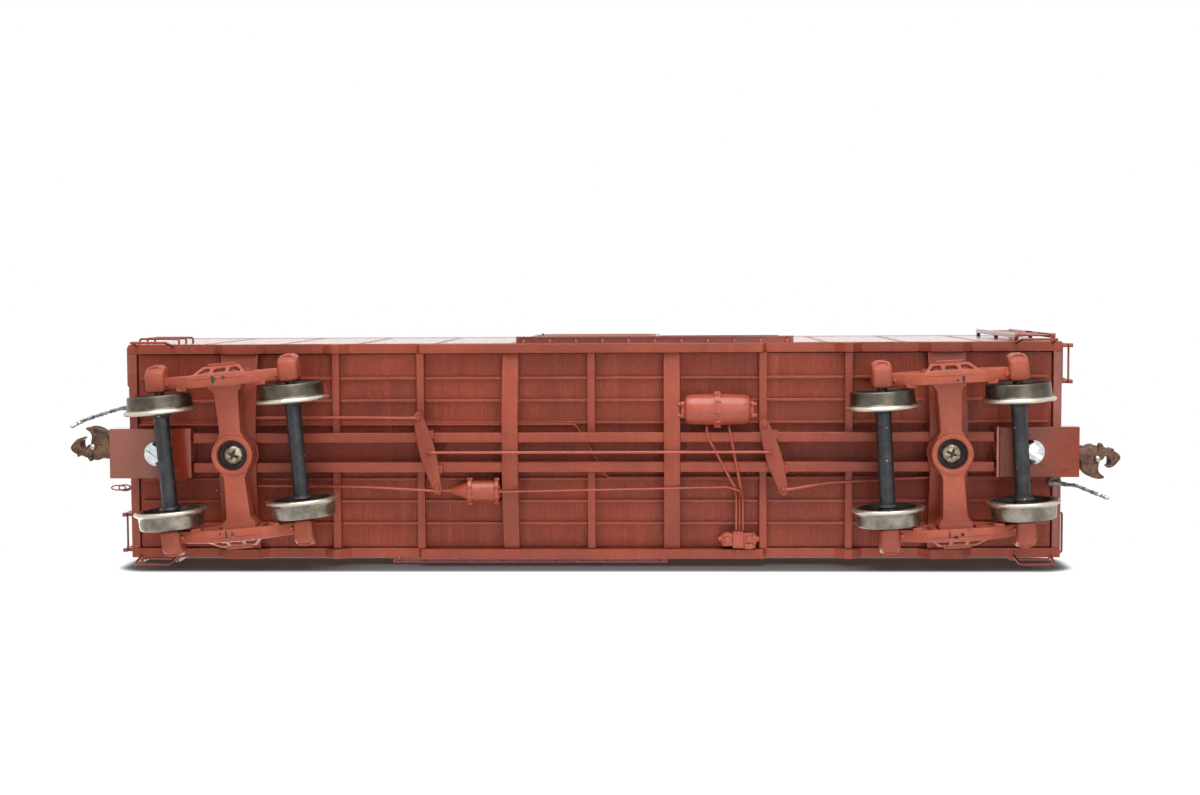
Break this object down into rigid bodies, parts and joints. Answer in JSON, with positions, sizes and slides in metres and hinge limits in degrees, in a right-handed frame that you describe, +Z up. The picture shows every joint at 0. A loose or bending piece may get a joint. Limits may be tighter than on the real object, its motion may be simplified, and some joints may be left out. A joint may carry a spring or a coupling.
{
  "type": "model railroad boxcar",
  "caption": "Scale model of a steel boxcar with sliding side doors, detailed underframe and brake gear, swivelling trucks, turning wheelsets and knuckle couplers.",
  "frame": {"origin": "centre of the car at rail level, under the middle of the body, with the wheel flanges standing on z = 0", "axes": "+X towards the hand brake end, +Y towards the left side seen from the other end, +Z up"},
  "size_m": [0.1572, 0.035, 0.0532],
  "materials": {
    "body_paint": "matte",
    "underframe_paint": "satin",
    "brake_gear_paint": "satin",
    "truck_plastic": "satin",
    "wheel_metal": "satin",
    "axle_plastic": "satin",
    "coupler_metal": "satin",
    "hose_plastic": "satin",
    "screw_metal": "polished",
    "weight_metal": "matte"
  },
  "bodies": {
    "body": {"side_wall_left": "body_paint", "side_wall_right": "body_paint", "side_sills": "underframe_paint", "end_wall_a": "body_paint", "end_wall_b": "body_paint", "roof": "body_paint", "running_board": "body_paint", "floor": "underframe_paint", "weight_plate": "weight_metal", "stringers": "underframe_paint", "center_sill": "underframe_paint", "body_bolsters": "underframe_paint", "crossbearers": "underframe_paint", "cross_ties": "underframe_paint", "door_tracks": "body_paint", "ladders": "body_paint", "grab_irons": "body_paint", "sill_steps": "body_paint", "brake_wheel": "body_paint", "brake_housing": "body_paint", "brake_step": "body_paint", "reservoir": "brake_gear_paint", "brake_cylinder": "brake_gear_paint", "brake_valve": "brake_gear_paint", "brake_levers": "underframe_paint", "brake_rods": "underframe_paint", "brake_pipes": "underframe_paint", "train_line": "underframe_paint", "draft_boxes": "underframe_paint", "box_lids": "underframe_paint", "screws": "screw_metal", "air_hoses": "hose_plastic"},
    "truck_a": {"truck_frame_a": "truck_plastic"},
    "truck_b": {"truck_frame_b": "truck_plastic"},
    "door_left": {"door_left": "body_paint"},
    "door_right": {"door_right": "body_paint"},
    "coupler_a": {"coupler_a": "coupler_metal"},
    "coupler_b": {"coupler_b": "coupler_metal"},
    "knuckle_a": {"knuckle_a": "coupler_metal"},
    "knuckle_b": {"knuckle_b": "coupler_metal"},
    "wheelset_a_inner": {"axle_a_inner": "axle_plastic", "wheels_a_inner": "wheel_metal"},
    "wheelset_a_outer": {"axle_a_outer": "axle_plastic", "wheels_a_outer": "wheel_metal"},
    "wheelset_b_inner": {"axle_b_inner": "axle_plastic", "wheels_b_inner": "wheel_metal"},
    "wheelset_b_outer": {"axle_b_outer": "axle_plastic", "wheels_b_outer": "wheel_metal"}
  },
  "joints": [
    {"name": "truck_b_swivel", "type": "hinge", "parent": "body", "child": "truck_b", "pos_m": [0.05345, 0, 0.0088], "axis": [0, 0, 1], "range_deg": [-6.2, 15.8]},
    {"name": "wheelset_b_inner_spin", "type": "hinge", "parent": "truck_b", "child": "wheelset_b_inner", "pos_m": [0.04356, 0.00083, 0.00545], "axis": [0.0837, 0.9965, 0], "continuous": true},
    {"name": "wheelset_b_outer_spin", "type": "hinge", "parent": "truck_b", "child": "wheelset_b_outer", "pos_m": [0.06334, -0.00083, 0.00545], "axis": [0.0837, 0.9965, 0], "continuous": true},
    {"name": "coupler_b_swing", "type": "hinge", "parent": "body", "child": "coupler_b", "pos_m": [0.06575, 0, 0.01056], "axis": [0, 0, 1], "range_deg": [-8, 8]},
    {"name": "knuckle_b_open", "type": "hinge", "parent": "coupler_b", "child": "knuckle_b", "pos_m": [0.0757, -0.00035, 0.01056], "axis": [0, 0, -1], "range_deg": [0, 30]},
    {"name": "truck_a_swivel", "type": "hinge", "parent": "body", "child": "truck_a", "pos_m": [-0.05345, 0, 0.0088], "axis": [0, 0, 1], "range_deg": [-8, 14]},
    {"name": "wheelset_a_inner_spin", "type": "hinge", "parent": "truck_a", "child": "wheelset_a_inner", "pos_m": [-0.04354, -0.00052, 0.00545], "axis": [0.0523, 0.9986, 0], "continuous": true},
    {"name": "wheelset_a_outer_spin", "type": "hinge", "parent": "truck_a", "child": "wheelset_a_outer", "pos_m": [-0.06336, 0.00052, 0.00545], "axis": [0.0523, 0.9986, 0], "continuous": true},
    {"name": "coupler_a_swing", "type": "hinge", "parent": "body", "child": "coupler_a", "pos_m": [-0.06575, 0, 0.01056], "axis": [0, 0, 1], "range_deg": [-8, 8]},
    {"name": "knuckle_a_open", "type": "hinge", "parent": "coupler_a", "child": "knuckle_a", "pos_m": [-0.0757, 0.00035, 0.01056], "axis": [0, 0, -1], "range_deg": [0, 30]},
    {"name": "door_left_slide", "type": "slide", "parent": "body", "child": "door_left", "axis": [-1, 0, 0], "range_m": [0, 0.019]},
    {"name": "door_right_slide", "type": "slide", "parent": "body", "child": "door_right", "axis": [1, 0, 0], "range_m": [0, 0.019]}
  ]
}
